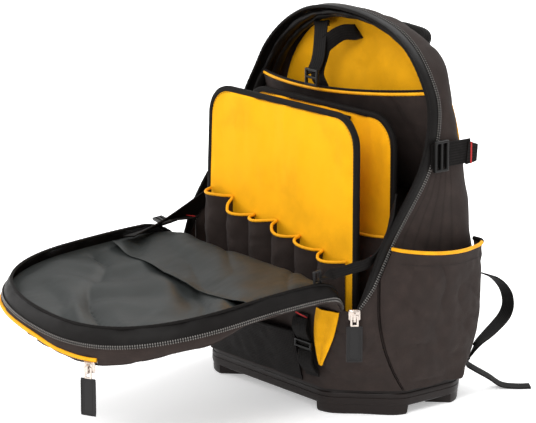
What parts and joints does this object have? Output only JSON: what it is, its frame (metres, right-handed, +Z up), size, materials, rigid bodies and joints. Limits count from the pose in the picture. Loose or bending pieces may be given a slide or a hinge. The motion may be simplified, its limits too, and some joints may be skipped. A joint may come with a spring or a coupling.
{
  "type": "tool backpack",
  "caption": "Dark cloth tool backpack with yellow trim, standing open on a moulded tray: cover folded down, boards with tool pockets, mesh organiser, side pockets and shoulder straps.",
  "frame": {"origin": "bottom centre of the bounding box, on the floor", "axes": "+Z up; the open front looks along -Y and the shoulder straps lie at +Y"},
  "size_m": [0.4346, 0.6284, 0.473],
  "materials": {
    "tray": "satin",
    "cloth": "matt",
    "webbing": "matt",
    "yellow_cloth": "matt",
    "lining": "satin",
    "mesh": "matt",
    "plastic": "satin",
    "nickel": "polished",
    "pull_rubber": "satin"
  },
  "bodies": {
    "pack": {"base_tray": "tray", "side_gusset": "cloth", "back_panel": "cloth", "lower_front": "cloth", "zip_tape": "webbing", "cover_gusset": "cloth", "cover_panel": "cloth", "cover_pocket": "cloth", "cover_zip_tape": "webbing", "cover_piping": "yellow_cloth", "cover_lining": "lining", "cover_inner_pocket": "lining", "front_board": "yellow_cloth", "front_board_binding": "webbing", "front_tool_pockets": "cloth", "front_pocket_piping": "yellow_cloth", "rear_board": "yellow_cloth", "rear_board_binding": "webbing", "rear_tool_pockets": "cloth", "rear_pocket_piping": "yellow_cloth", "rear_board_loop_left": "webbing", "rear_board_loop_right": "webbing", "organiser_back": "yellow_cloth", "organiser_pocket": "mesh", "organiser_piping": "yellow_cloth", "organiser_strap_left": "webbing", "organiser_strap_right": "webbing", "organiser_buckle": "plastic", "front_mesh_pocket": "mesh", "front_webbing": "webbing", "front_buckle": "plastic", "yellow_gusset": "yellow_cloth", "side_pocket_right": "cloth", "side_pocket_piping_right": "yellow_cloth", "side_strap_right": "webbing", "side_buckle_right": "plastic", "side_pocket_left": "cloth", "side_pocket_piping_left": "yellow_cloth", "side_strap_left": "webbing", "side_buckle_left": "plastic", "holding_strap_right": "webbing", "holding_strap_left": "webbing", "back_pad": "mesh", "shoulder_pad_right": "mesh", "strap_webbing_right": "webbing", "strap_tail_right": "webbing", "shoulder_pad_left": "mesh", "strap_webbing_left": "webbing", "strap_tail_left": "webbing", "haul_handle": "webbing", "slider_front": "nickel", "slider_pocket": "nickel"},
    "front_pull": {"pull_front": "pull_rubber"},
    "pocket_pull": {"pull_pocket": "pull_rubber"}
  },
  "joints": [
    {"name": "front_pull_swing", "type": "hinge", "parent": "pack", "child": "front_pull", "pos_m": [0.17698, 0.02676, 0.139], "axis": [-0.6183, -0.786, 0], "range_deg": [0, 80]},
    {"name": "pocket_pull_swing", "type": "hinge", "parent": "pack", "child": "pocket_pull", "pos_m": [0.09036, -0.29865, 0.11641], "axis": [-0.914, -0.4058, 0], "range_deg": [0, 80]}
  ]
}
